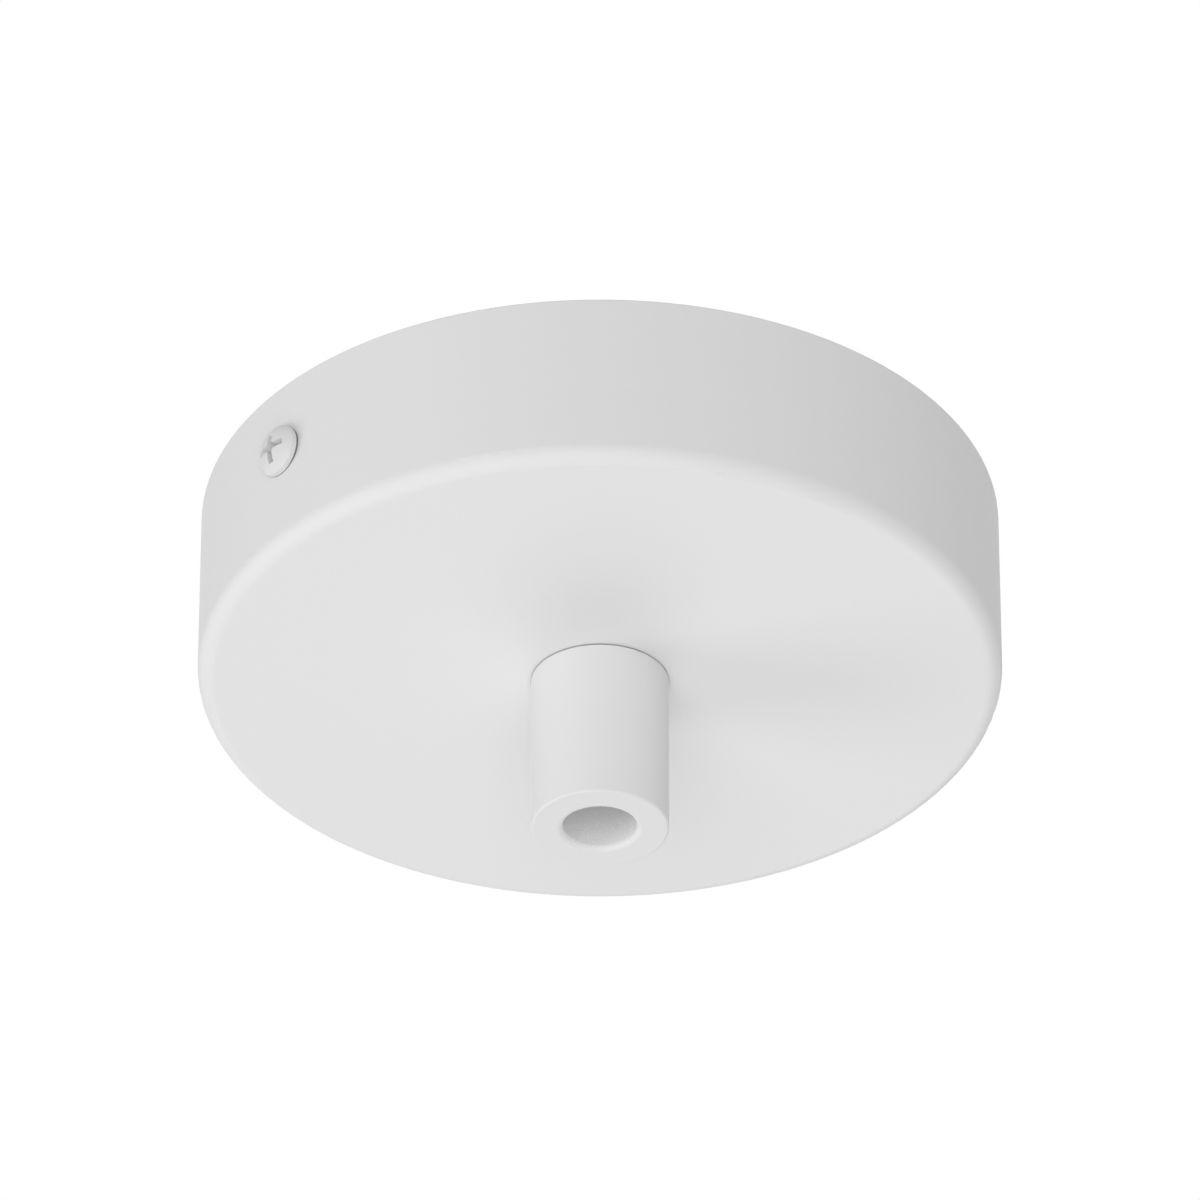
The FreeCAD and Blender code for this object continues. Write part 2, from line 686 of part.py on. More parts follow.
def make_terminal_tube(number, x):
    """A brass tube whose wire bore sits high, so that the screws have a thick wall to run in."""
    body = new_body(f"terminal_tube_{number}")
    end = new_sketch(body, "XZ", "end")
    circle(end, "0", "0", "tube_radius")
    circle(end, "0", "wire_bore_offset", "wire_bore / 2")
    pad(body, "tube", end, "tube_length", sides="Symmetric")
    taps = new_sketch(body, "XY", "screw_holes")
    for sign in ("", "-"):
        circle(taps, "0", f"{sign}chimney_spread", "terminal_thread / 2 + thread_clearance")
    pocket(body, "tapped_holes", taps, "tube_radius")
    put(body, x=x, y="block_middle", z="tube_level")


def make_terminal_screw(number, x, y_sign):
    """At rest the screw is open, with its tip just clear of the wire bore."""
    body = new_body(f"terminal_screw_{number}")
    section = new_sketch(body, "XZ", "section")
    shank, head = "terminal_thread / 2", "terminal_head_diameter / 2"
    outline(section, [("0", "-terminal_screw_length"), (shank, "-terminal_screw_length"), (shank, "0"),
                      (head, "0"), (head, "terminal_head_height"), ("0", "terminal_head_height")])
    turned(body, "blank", section)
    eased(body, "tip", ring_edge("-terminal_screw_length", shank), "terminal_thread / 10", "Chamfer")
    straight_slot(body, "terminal_head_height", "terminal_head_diameter", "terminal_slot_width",
                  "terminal_slot_depth")
    put(body, x=x, y=f"block_middle {y_sign} chimney_spread", z="terminal_seat", axis=(1, 0, 0), angle=180)


def make_block_fixings():
    for side, sign in (("left", "-"), ("right", "")):
        x = f"{sign}boss_shift"
        screw = headed_screw("block_screw_" + side, "block_thread", "block_screw_length",
                             "block_head_diameter", "block_head_height", "block_head_rounding")
        straight_slot(screw, "block_head_height", "block_head_diameter", "terminal_slot_width",
                      "terminal_slot_depth")
        put(screw, x=x, y="block_middle", z="block_seat", axis=(1, 0, 0), angle=180)
        nut = hex_nut("block_nut_" + side, "block_nut_flats", "block_nut_height",
                      "block_thread / 2 + thread_clearance")
        put(nut, x=x, y="block_middle", z="tab_top")


# Earth terminal on the lug


def make_earth_terminal():
    screw = headed_screw("earth_screw", "earth_thread", "earth_screw_length",
                         "earth_head_diameter", "earth_head_height", "earth_head_rounding")
    cross_recess(screw, "earth_head_height", "earth_recess_span", "earth_recess_depth")
    put(screw, x="lug_offset", y="lug_face - washers_thickness - seat_gap", z="-earth_depth",
        axis=(1, 0, 0), angle=90)
    hole = "earth_thread / 2 + earth_washer_clearance"
    # The cup washer's lip keeps the earth wire under the head
    cup = new_body("earth_cup_washer")
    section = new_sketch(cup, "XZ", "section")
    outer = "earth_washer_diameter / 2"
    lip_inside = f"{outer} - earth_washer_thickness"
    lip_top = "earth_washer_thickness + cup_washer_lip"
    outline(section, [(hole, "0"), (outer, "0"), (outer, lip_top), (lip_inside, lip_top),
                      (lip_inside, "earth_washer_thickness"), (hole, "earth_washer_thickness")])
    turned(cup, "pressed_cup", section)
    put(cup, x="lug_offset", y="lug_face", z="-earth_depth", axis=(1, 0, 0), angle=90)
    spring = new_body("earth_lock_washer")
    plan = new_sketch(spring, "XY", "plan")
    circle(plan, "0", "0", "lock_washer_diameter / 2")
    circle(plan, "0", "0", hole)
    pad(spring, "ring", plan, "lock_washer_thickness")
    gap = new_sketch(spring, "XZ", "gap")
    outline(gap, [("0", "0"), ("lock_washer_split", "0"),
                  ("lock_washer_split * 2", "lock_washer_thickness"),
                  ("lock_washer_split", "lock_washer_thickness")])
    pocket(spring, "split", gap, "lock_washer_diameter")
    put(spring, x="lug_offset", y="lug_face - earth_washer_thickness", z="-earth_depth",
        axis=(1, 0, 0), angle=90)


make_cup()
make_side_screws()
make_cord_grip()
make_clamp_screw()
make_nipple()
make_lock_washer()
make_gland_nut()
make_bracket()
make_terminal_block()
for pole, pole_x in enumerate(pole_places()):
    make_terminal_tube(pole + 1, pole_x)
    make_terminal_screw(2 * pole + 1, pole_x, "-")
    make_terminal_screw(2 * pole + 2, pole_x, "+")
make_block_fixings()
make_earth_terminal()
doc.recompute()

# Every object has to be sound before anything is written
for item in doc.Objects:
    if "Invalid" in item.State or "Error" in item.State:
        raise ValueError(f"{item.Label} is {item.State}")
bodies = [item for item in doc.Objects if item.TypeId == "PartDesign::Body"]
for body in bodies:
    if body.Shape.isNull() or not body.Shape.isValid() or len(body.Shape.Solids) != 1:
        raise ValueError(f"{body.Label} is not one sound solid")
os.makedirs("parts", exist_ok=True)
for body in bodies:
    body.Shape.exportStep(f"parts/{body.Label}.step")
print(f"{len(bodies)} pieces written")
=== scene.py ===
import json
import math

import bmesh
import bpy
from mathutils import Matrix, Vector


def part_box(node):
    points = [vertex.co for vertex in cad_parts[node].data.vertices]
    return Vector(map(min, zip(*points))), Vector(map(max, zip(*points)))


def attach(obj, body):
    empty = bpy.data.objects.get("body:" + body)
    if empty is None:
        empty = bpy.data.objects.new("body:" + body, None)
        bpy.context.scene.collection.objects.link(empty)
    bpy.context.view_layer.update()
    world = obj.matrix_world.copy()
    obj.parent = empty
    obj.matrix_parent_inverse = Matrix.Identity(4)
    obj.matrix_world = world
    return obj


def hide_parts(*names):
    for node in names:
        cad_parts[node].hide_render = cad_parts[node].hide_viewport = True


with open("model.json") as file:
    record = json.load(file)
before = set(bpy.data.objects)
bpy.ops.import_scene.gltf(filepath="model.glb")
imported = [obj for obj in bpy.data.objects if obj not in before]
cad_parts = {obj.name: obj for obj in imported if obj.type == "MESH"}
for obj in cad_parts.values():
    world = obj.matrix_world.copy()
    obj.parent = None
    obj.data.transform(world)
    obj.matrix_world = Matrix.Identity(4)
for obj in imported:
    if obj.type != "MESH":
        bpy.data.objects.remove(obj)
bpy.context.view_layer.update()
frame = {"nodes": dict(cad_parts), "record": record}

mm = 0.001
fullTurn = 2 * math.pi


# Camera

shot = {
    "distance": 5.0,  # from the centre of the round face, m
    "below": 33.575,  # how far under the face's plane the camera stands, degrees
    "heading": 52.35,  # the way it looks, from +X towards +Y, degrees
    "tiltUp": 0.122,  # it looks this much above the face's centre, degrees
    "lens": 1150.3,  # on a 36 mm sensor
}


def addCamera():
    lens = bpy.data.cameras.new("shotCamera")
    lens.lens = shot["lens"]
    lens.sensor_width = 36
    lens.clip_start = 0.05
    lens.clip_end = 60
    camera = bpy.data.objects.new("shotCamera", lens)
    bpy.context.scene.collection.objects.link(camera)
    heading = math.radians(shot["heading"])
    below = math.radians(shot["below"])
    level = Vector((math.cos(heading), math.sin(heading), 0))
    faceCentre = Vector((0, 0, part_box("cup")[0].z))
    sightLine = level * math.cos(below) + Vector((0, 0, math.sin(below)))
    tilt = below + math.radians(shot["tiltUp"])
    forward = level * math.cos(tilt) + Vector((0, 0, math.sin(tilt)))
    camera.rotation_euler = forward.to_track_quat("-Z", "Y").to_euler()
    camera.location = faceCentre - sightLine * shot["distance"]
    bpy.context.scene.camera = camera


# Mesh helpers, all in millimetres until a piece is set down

weld = 0.0008  # points that lie nearer than this are one point
near = 0.0001  # a point that is off a plane or a corner by less than this lies on it
thread = {  # a 60 degree thread, all in pitches
    "depth": 0.541,
    "rootEnd": 1 / 4, "crestStart": 9 / 16, "crestEnd": 11 / 16,  # along one turn
    "spare": 2,  # this much is wound below the lower end and cut off again
}


def joinUp(bm):
    bmesh.ops.remove_doubles(bm, verts=bm.verts, dist=weld)
    bmesh.ops.recalc_face_normals(bm, faces=bm.faces)


def spunSolid(outline, steps):  # outline: (radius, height) pairs, from the axis round to the axis
    bm = bmesh.new()
    verts = [bm.verts.new((radius, 0, height)) for radius, height in outline]
    edges = [bm.edges.new(pair) for pair in zip(verts, verts[1:])]
    bmesh.ops.spin(bm, geom=verts + edges, cent=(0, 0, 0), axis=(0, 0, 1), dvec=(0, 0, 0),
                   angle=fullTurn, steps=steps, use_merge=True, use_normal_flip=False, use_duplicate=False)
    joinUp(bm)
    return bm


def threadedRod(radius, pitch, low, high, steps, chamfers=(0, 0)):  # cut square at both ends
    root = radius - thread["depth"] * pitch
    outline = [(root, 0), (root, pitch * thread["rootEnd"]), (radius, pitch * thread["crestStart"]),
               (radius, pitch * thread["crestEnd"]), (root, pitch)]
    start = low - thread["spare"] * pitch
    turns = math.ceil((high - start) / pitch) + 1
    bm = bmesh.new()
    verts = [bm.verts.new((reach, 0, start + rise)) for reach, rise in outline]
    edges = [bm.edges.new(pair) for pair in zip(verts, verts[1:])]
    bmesh.ops.spin(bm, geom=verts + edges, cent=(0, 0, 0), axis=(0, 0, 1), dvec=(0, 0, pitch / steps),
                   angle=fullTurn * turns, steps=steps * turns, use_merge=False, use_normal_flip=False,
                   use_duplicate=False)
    bmesh.ops.remove_doubles(bm, verts=bm.verts, dist=weld)
    for height, way in ((low, -1), (high, 1)):
        everything = bm.verts[:] + bm.edges[:] + bm.faces[:]
        bmesh.ops.bisect_plane(bm, geom=everything, plane_co=(0, 0, height), plane_no=(0, 0, way),
                               clear_outer=True, clear_inner=False)
        rim = [edge for edge in bm.edges if edge.is_boundary
               and all(abs(vert.co.z - height) < near for vert in edge.verts)]
        bmesh.ops.holes_fill(bm, edges=rim, sides=0)
    bmesh.ops.recalc_face_normals(bm, faces=bm.faces)
    for end, way, chamfer in ((low, 1, chamfers[0]), (high, -1, chamfers[1])):
        for vert in bm.verts:  # the crests come in towards a chamfered end
            limit = radius - chamfer + (vert.co.z - end) * way
            reach = vert.co.xy.length
            if chamfer and reach > limit:
                vert.co.xy *= limit / reach
    return bm


def boxCutter(width, depth, height, middle):
    bm = bmesh.new()
    bmesh.ops.create_cube(bm, size=1,
                          matrix=Matrix.Translation(middle) @ Matrix.Diagonal((width, depth, height, 1)))
    return bm


def looseObject(bm, name):
    mesh = bpy.data.meshes.new(name)
    bm.to_mesh(mesh)
    bm.free()
    made = bpy.data.objects.new(name, mesh)
    bpy.context.scene.collection.objects.link(made)
    return made


def carve(bm, tools, operation="DIFFERENCE"):  # one solid from a first one and the tools that change it
    whole = looseObject(bm, "carving")
    parts = [looseObject(tool, "carvingTool") for tool in tools]
    for part in parts:
        step = whole.modifiers.new("carve", "BOOLEAN")
        step.operation = operation
        step.solver = "EXACT"
        step.object = part
    mesh = bpy.data.meshes.new_from_object(whole.evaluated_get(bpy.context.evaluated_depsgraph_get()))
    result = bmesh.new()
    result.from_mesh(mesh)
    bpy.data.meshes.remove(mesh)
    for used in [whole] + parts:
        spare = used.data
        bpy.data.objects.remove(used)
        bpy.data.meshes.remove(spare)
    bmesh.ops.remove_doubles(result, verts=result.verts, dist=weld)
    return result


def roundOff(bm, chosen, width, segments=3):
    edges = [edge for edge in bm.edges if chosen(edge)]
    bmesh.ops.bevel(bm, geom=edges, offset=width, offset_type="OFFSET", affect="EDGES",
                    segments=segments, profile=0.5, material=-1, clamp_overlap=True)


def setDown(bm, name, node, place, crisp=32):  # it stands for its node, on its body and in its finish
    for face in bm.faces:
        face.smooth = True
    for edge in bm.edges:
        edge.smooth = edge.is_manifold and edge.calc_face_angle(0) < math.radians(crisp)
    bmesh.ops.transform(bm, matrix=Matrix.Scale(mm, 4) @ place, verts=bm.verts)
    piece = looseObject(bm, name)
    slotName = nodeSlots[node]
    piece.data.materials.append(finishes[slotName])
    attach(piece, nodeBodies[node])
    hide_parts(node)


def axisPlace(origin, up, side):  # local Z along up and local X along side, with the origin in millimetres
    z = Vector(up)
    x = Vector(side)
    turn = Matrix((x, z.cross(x), z)).transposed().to_4x4()
    return Matrix.Translation(origin) @ turn


def millimetres(node):
    low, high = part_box(node)
    return low / mm, high / mm


# Shader helpers

softEdge = 0.02 * mm


class Wire:  # a socket that sums and products can be written with
    def __init__(self, finish, socket):
        self.finish = finish
        self.socket = socket

    def maths(self, operation, first, second):
        return self.finish.node("Math", {"operation": operation}, {0: first, 1: second})

    def __add__(self, other):
        return self.maths("ADD", self, other)

    def __radd__(self, other):
        return self.maths("ADD", other, self)

    def __mul__(self, other):
        return self.maths("MULTIPLY", self, other)

    def __rmul__(self, other):
        return self.maths("MULTIPLY", other, self)


class Finish:  # a material, or the world, being wired up
    def __init__(self, name, owner=None):
        self.owner = owner or bpy.data.materials.new(name)
        self.owner.use_nodes = True
        self.tree = self.owner.node_tree

    def give(self, socket, given):
        if isinstance(given, Wire):
            self.tree.links.new(given.socket, socket)
        else:
            socket.default_value = given

    def node(self, kind, settings=None, sockets=None, output=0):
        made = self.tree.nodes.new("ShaderNode" + kind)
        for name, setting in (settings or {}).items():
            setattr(made, name, setting)
        for name, given in (sockets or {}).items():
            self.give(made.inputs[name], given)
        return Wire(self, made.outputs[output])

    def place(self):
        return self.node("TexCoord", output="Object")

    def stretched(self, scale):
        return self.node("Mapping", {}, {"Vector": self.place(), "Scale": scale})

    def length(self, scale):  # the distance from the origin, along the axes that the scale keeps
        return self.node("VectorMath", {"operation": "LENGTH"}, {0: self.stretched(scale)}, "Value")

    def noise(self, scale, vector=None, detail=2.0, roughness=0.5):
        return self.node("TexNoise", {}, {"Vector": vector or self.place(), "Scale": scale,
                                          "Detail": detail, "Roughness": roughness})

    def ramp(self, factor, low, high):  # spread low..high to 0..1
        return self.node("MapRange", {"clamp": True}, {"Value": factor, "From Min": low, "From Max": high})

    def between(self, value, low, high):  # 1 from low to high, with narrow soft edges
        return self.ramp(value, low - softEdge, low) * self.ramp(value, high + softEdge, high)

    def blend(self, factor, first, second):
        return self.node("Mix", {"data_type": "RGBA"}, {0: factor, 6: first, 7: second}, 2)

    def bump(self, height, strength, distance):
        return self.node("Bump", {}, {"Height": height, "Strength": strength, "Distance": distance})

    def skin(self, sockets):  # the Principled shader's own sockets
        shader = self.tree.nodes["Principled BSDF"]
        for name, given in sockets.items():
            self.give(shader.inputs[name], given)
        return self.owner


def grey(level, warm=0.0):
    return (level + warm, level, level - warm, 1)


# Finishes

coatLook = {
    "colour": 0.775, "roughness": 0.5, "specular": 0.3, "relief": 0.12, "reliefDepth": 0.03 * mm,
    "peelSize": 0.9 * mm, "peelRoughness": 0.1, "fineTimes": 3, "fineShare": 0.4,  # a finer orange peel on it
    "speck": 0.70, "speckWarmth": 0.004, "speckSize": 0.55 * mm, "speckEdge": (0.16, 0.08),
    "patchScale": 300.0, "patchEdge": (0.56, 0.62),  # the specks stand in loose patches
}
boreLook = {  # the grip's bore is painted lighter than the coat outside, as painted light in the recess, with a rough grain of its own
    "reach": 5.2 * mm, "edge": 0.3 * mm,  # from the rose's axis
    "dark": 0.74, "light": 0.87, "spread": (0.3, 0.7), "grainSize": 0.26 * mm,
    "roughness": 0.2, "relief": 1.5,
}
gripLook = {  # painted shade: the faced end is painted a little greyer, and the joint against the cup is painted dark as the shadow in its crease
    "end": 0.75, "endLevel": -47.94 * mm,
    "joint": (0.58, 0.568, 0.55, 1), "jointShadowReach": 9.03 * mm, "jointShadowHeight": (-25.12 * mm, -24.9 * mm),
}
headLook = {  # the side screw heads are a little greyer than the cup, and a ring of painted shade lies round the foot of each head
    "level": -10.45 * mm,
    "head": 0.722, "headReach": 3.6 * mm, "headSpan": (52.44 * mm, 62.44 * mm),
    # ring: painted shade round the foot of each screw head
    "ring": (0.40, 0.395, 0.385, 1), "shadowRingReach": (3.15 * mm, 3.42 * mm),
    "shadowRingSpan": (51.8 * mm, 52.44 * mm),
}
sheetLook = {  # bright zinc on cold rolled sheet, with the rolling lines along the strap
    "cool": (0.60, 0.63, 0.66, 1), "warm": (0.65, 0.64, 0.62, 1),
    "tintSize": 9 * mm, "tintEdge": (0.35, 0.65),
    "dull": (0.47, 0.49, 0.51, 1), "cloudSize": 2.4 * mm, "dullEdge": (0.55, 0.2),
    "lines": (60, 2400, 2400), "roughness": 0.30, "lineRoughness": 0.16, "cloudRoughness": 0.08,
    "relief": 0.12, "reliefDepth": 0.02 * mm,
}
hardwareLook = {
    "dark": (0.52, 0.54, 0.57, 1), "light": (0.68, 0.69, 0.70, 1), "cloudScale": 700.0,
    "roughness": 0.22, "cloudRoughness": 0.14, "relief": 0.08, "reliefDepth": 0.02 * mm,
}
brassLook = {
    "colour": (0.72, 0.50, 0.20, 1), "dull": (0.56, 0.37, 0.14, 1),
    "cloudScale": 420.0, "fineScale": 2500.0,
    "roughness": 0.20, "cloudRoughness": 0.18, "relief": 0.08, "reliefDepth": 0.02 * mm,
}
plasticLook = {
    "colour": (0.76, 0.75, 0.71, 1), "shade": (0.70, 0.69, 0.65, 1),
    "cloudScale": 180.0, "fineScale": 2600.0,
    "roughness": 0.36, "fineRoughness": 0.12, "glow": 0.25, "glowDepth": 1.2 * mm,
    "relief": 0.10, "reliefDepth": 0.02 * mm,
}
nylonLook = {
    "colour": (0.80, 0.79, 0.74, 1), "shade": (0.74, 0.73, 0.68, 1), "cloudScale": 500.0,
    "roughness": 0.46, "cloudRoughness": 0.12, "glow": 0.3, "glowDepth": 1.5 * mm,
    "relief": 0.05, "reliefDepth": 0.02 * mm,
}


def speckledCoat(coat):
    cells = coat.node("TexVoronoi", {"feature": "F1"},
                      {"Vector": coat.place(), "Scale": 1 / coatLook["speckSize"]}, "Distance")
    patches = coat.ramp(coat.noise(coatLook["patchScale"]), *coatLook["patchEdge"])
    speck = coat.ramp(cells, *coatLook["speckEdge"]) * patches
    return coat.blend(speck, grey(coatLook["colour"]), grey(coatLook["speck"], coatLook["speckWarmth"]))


def coatWithPaintedShade(coat, colour, outward):  # painted shade on the grip's end, in its joint and round the foot of the side screw heads, and the greyer side screw heads
    height = coat.node("SeparateXYZ", {}, {0: coat.place()}, "Z")
    sideways = coat.length((1, 0, 0))
    fromScrew = coat.node("VectorMath", {"operation": "DISTANCE"},
                          {0: coat.stretched((0, 1, 1)), 1: (0, 0, headLook["level"])}, "Value")
    onHead = coat.between(fromScrew, 0, headLook["headReach"])
    onHead *= coat.between(sideways, *headLook["headSpan"])
    # painted shade in a ring round the foot of each side screw head
    shadeUnderHead = coat.between(fromScrew, *headLook["shadowRingReach"])
    shadeUnderHead *= coat.between(sideways, *headLook["shadowRingSpan"])
    # painted shade on the grip's end face, and painted shadow in its joint with the cup
    endShade = coat.ramp(height, gripLook["endLevel"] + softEdge, gripLook["endLevel"])
    inJointShadow = coat.between(height, *gripLook["jointShadowHeight"])
    inJointShadow *= coat.between(outward, 0, gripLook["jointShadowReach"])
    for place, tint in ((onHead, grey(headLook["head"])), (endShade, grey(gripLook["end"])),
                        (inJointShadow, gripLook["joint"]), (shadeUnderHead, headLook["ring"])):
        colour = coat.blend(place, colour, tint)
    return colour


def powderCoat():
    coat = Finish("powderCoat")
    outward = coat.length((1, 1, 0))
    outside = coatWithPaintedShade(coat, speckledCoat(coat), outward)
    grain = coat.noise(1 / boreLook["grainSize"], detail=3.0, roughness=0.7)
    # painted light: the bore's grain is lighter on the whole than the coat outside
    boreGrainAndPaintedLight = coat.blend(coat.ramp(grain, *boreLook["spread"]),
                       grey(boreLook["dark"]), grey(boreLook["light"]))
    inBore = coat.ramp(outward, boreLook["reach"], boreLook["reach"] - boreLook["edge"])
    peel = coat.noise(1 / coatLook["peelSize"], detail=3.0)
    fine = coat.noise(coatLook["fineTimes"] / coatLook["peelSize"], detail=1.0)
    relief = peel + fine * coatLook["fineShare"] + inBore * grain * boreLook["relief"]
    roughness = coatLook["roughness"] + peel * coatLook["peelRoughness"] + inBore * boreLook["roughness"]
    return coat.skin({
        "Base Color": coat.blend(inBore, outside, boreGrainAndPaintedLight), "Roughness": roughness,
        "Specular IOR Level": coatLook["specular"],
        "Normal": coat.bump(relief, coatLook["relief"], coatLook["reliefDepth"]),
    })


def zincSheet():
    zinc = Finish("zincSheet")
    cloud = zinc.noise(1 / sheetLook["cloudSize"], detail=4.0)
    lines = zinc.noise(1.0, zinc.stretched(sheetLook["lines"]), detail=3.0)
    passivate = zinc.blend(zinc.ramp(zinc.noise(1 / sheetLook["tintSize"]), *sheetLook["tintEdge"]),
                           sheetLook["cool"], sheetLook["warm"])
    worn = zinc.ramp(cloud, *sheetLook["dullEdge"])
    roughness = lines * sheetLook["lineRoughness"] + cloud * sheetLook["cloudRoughness"]
    return zinc.skin({
        "Base Color": zinc.blend(worn, passivate, sheetLook["dull"]), "Metallic": 1.0,
        "Roughness": sheetLook["roughness"] + roughness,
        "Normal": zinc.bump(lines, sheetLook["relief"], sheetLook["reliefDepth"]),
    })


def zincHardware():
    zinc = Finish("zincHardware")
    cloud = zinc.noise(hardwareLook["cloudScale"], detail=3.0)
    return zinc.skin({
        "Base Color": zinc.blend(cloud, hardwareLook["dark"], hardwareLook["light"]), "Metallic": 1.0,
        "Roughness": hardwareLook["roughness"] + cloud * hardwareLook["cloudRoughness"],
        "Normal": zinc.bump(cloud, hardwareLook["relief"], hardwareLook["reliefDepth"]),
    })


def turnedBrass():
    brass = Finish("turnedBrass")
    cloud = brass.noise(brassLook["cloudScale"], detail=4.0)
    fine = brass.noise(brassLook["fineScale"])
    return brass.skin({
        "Base Color": brass.blend(cloud, brassLook["dull"], brassLook["colour"]), "Metallic": 1.0,
        "Roughness": brassLook["roughness"] + cloud * brassLook["cloudRoughness"],
        "Normal": brass.bump(fine, brassLook["relief"], brassLook["reliefDepth"]),
    })


def blockPlastic():
    plastic = Finish("blockPlastic")
    cloud = plastic.noise(plasticLook["cloudScale"], detail=3.0)
    fine = plastic.noise(plasticLook["fineScale"], detail=2.0)
    return plastic.skin({
        "Base Color": plastic.blend(cloud, plasticLook["shade"], plasticLook["colour"]),
        "Roughness": plasticLook["roughness"] + fine * plasticLook["fineRoughness"],
        "Subsurface Weight": plasticLook["glow"], "Subsurface Scale": plasticLook["glowDepth"],
        "Normal": plastic.bump(fine, plasticLook["relief"], plasticLook["reliefDepth"]),
    })


def whiteNylon():
    nylon = Finish("whiteNylon")
    cloud = nylon.noise(nylonLook["cloudScale"], detail=2.0)
    return nylon.skin({
        "Base Color": nylon.blend(cloud, nylonLook["shade"], nylonLook["colour"]),
        "Roughness": nylonLook["roughness"] + cloud * nylonLook["cloudRoughness"],
        "Subsurface Weight": nylonLook["glow"], "Subsurface Scale": nylonLook["glowDepth"],
        "Normal": nylon.bump(cloud, nylonLook["relief"], nylonLook["reliefDepth"]),
    })


finishes = {
    "white_coat": powderCoat(),
    "zinc_sheet": zincSheet(),
    "zinc_hardware": zincHardware(),
    "brass": turnedBrass(),
    "block_plastic": blockPlastic(),
    "nylon": whiteNylon(),
}


# Stage and light

studio = {
    "floorDrop": 7.0, "floorReach": 14.0, "floorColour": 0.86,
    "ambient": 0.577,  # how strongly the white world lights things
    "aim": (0, 0, -0.02),  # where the lamps point
}
lamps = {
    "leftLamp": {"at": (-2.01, 1.55, -1.18), "size": 1.8, "power": 18.2},
    "frontLamp": {"at": (-1.63, -1.49, -1.17), "size": 1.9, "power": 15.2},
    "lowLamp": {"at": (-0.9, -1.2, -2.2), "size": 2.2, "power": 13.1},
    "backLamp": {"at": (1.2, 1.5, -2.0), "size": 2.2, "power": 13.7},
}


def seenDirectly(finish):  # 1 for the camera and in reflections, 0 for the light that falls on things
    path = finish.node("LightPath")
    outputs = path.socket.node.outputs
    seen = Wire(finish, outputs["Is Camera Ray"])
    for name in ("Is Glossy Ray", "Is Transmission Ray"):
        seen = seen.maths("MAXIMUM", seen, Wire(finish, outputs[name]))
    return seen


def addStage():
    world = bpy.data.worlds.new("studioWorld")
    bpy.context.scene.world = world
    sky = Finish("studioWorld", world)
    seen = seenDirectly(sky)
    background = sky.tree.nodes["Background"]
    sky.give(background.inputs["Color"], grey(1.0))
    sky.give(background.inputs["Strength"], studio["ambient"] + seen * (1 - studio["ambient"]))

    bm = bmesh.new()
    bmesh.ops.create_circle(bm, cap_ends=True, segments=64, radius=studio["floorReach"],
                            matrix=Matrix.Translation((0, 0, -studio["floorDrop"])))
    mesh = bpy.data.meshes.new("studioFloor")
    bm.to_mesh(mesh)
    bm.free()
    floor = bpy.data.objects.new("studioFloor", mesh)
    bpy.context.scene.collection.objects.link(floor)
    paint = Finish("paleFloor")
    seen = seenDirectly(paint)
    matt = paint.node("BsdfDiffuse", {}, {"Color": grey(studio["floorColour"])})
    glow = paint.node("Emission", {}, {"Color": grey(1.0), "Strength": 1.0})
    mixed = paint.node("MixShader", {}, {0: seen, 1: matt, 2: glow})
    paint.give(paint.tree.nodes["Material Output"].inputs["Surface"], mixed)
    floor.data.materials.append(paint.owner)

    target = Vector(studio["aim"])
    for name, lamp in lamps.items():
        light = bpy.data.lights.new(name, "AREA")
        light.shape = "DISK"
        light.size = lamp["size"]
        light.energy = lamp["power"]
        placed = bpy.data.objects.new(name, light)
        placed.location = lamp["at"]
        placed.rotation_euler = (target - placed.location).to_track_quat("-Z", "Y").to_euler()
        placed.visible_camera = False
        bpy.context.scene.collection.objects.link(placed)


def dressFrame():  # every carried-over node takes the finish of its record slot
    for piece in frame["nodes"].values():
        for holder in piece.material_slots:
            holder.material = finishes[holder.material.name.split(".")[0]]


# Screws

recess = {
    "span": 5.4, "arm": 0.95, "depth": 2.1, "corner": 0.25,
    "floorSpan": 0.38, "floorArm": 0.7,  # the arms taper to this much of their length and width
}
domeHead = {
    "steps": 10, "arc": 72,  # the part of a quarter turn that the dome's outline takes, degrees
    "edge": 0.1, "edgeIn": 0.03, "edgeUp": 0.02, "rimDown": 0.08, "lean": 0.06,
    "foot": 0.06, "notchIn": 2.9, "notchRoof": 0.9, "seatIn": 3,  # the notch, in heights of the foot
}
cheeseHead = {"bevelIn": 0.25, "corner": 0.08, "foot": 0.06}
shank = {
    "steps": 40, "headSteps": 64, "reach": 0.3,  # the thread runs this far up into the head
    "point": 0.22,  # the chamfer at its tip, in radii
    "neckIn": 0.3, "neckDrop": 0.45,  # the plain neck under the head, in pitches
}
cutter = {"above": 0.1, "length": 8, "height": 2}  # what a slot or a recess is cut with


def crossCutter(top, span, arm, depth):  # two tapered arms with rounded inner corners
    half = arm / 2
    reach = span / 2
    bm = bmesh.new()
    corners = []
    for quarter in range(4):
        turn = Matrix.Rotation(quarter * fullTurn / 4, 3, "Z")
        corners += [turn @ Vector((reach, -half, top)), turn @ Vector((reach, half, top)),
                    turn @ Vector((half, half, top))]
    face = bm.faces.new([bm.verts.new(corner) for corner in corners])
    moved = bmesh.ops.extrude_face_region(bm, geom=[face])["geom"]
    floor = [item for item in moved if isinstance(item, bmesh.types.BMVert)]
    bmesh.ops.translate(bm, verts=floor, vec=(0, 0, -depth))
    for vert in floor:
        if vert.co.xy.length > 2 * half:  # at the end of an arm
            long, short = (0, 1) if abs(vert.co.x) > abs(vert.co.y) else (1, 0)
            vert.co[long] *= recess["floorSpan"]
            vert.co[short] *= recess["floorArm"]
    bmesh.ops.recalc_face_normals(bm, faces=bm.faces)

    def innerCorner(edge):
        return all(abs(abs(place) - half) < near for vert in edge.verts for place in vert.co.xy)
    roundOff(bm, innerCorner, recess["corner"])
    return bm


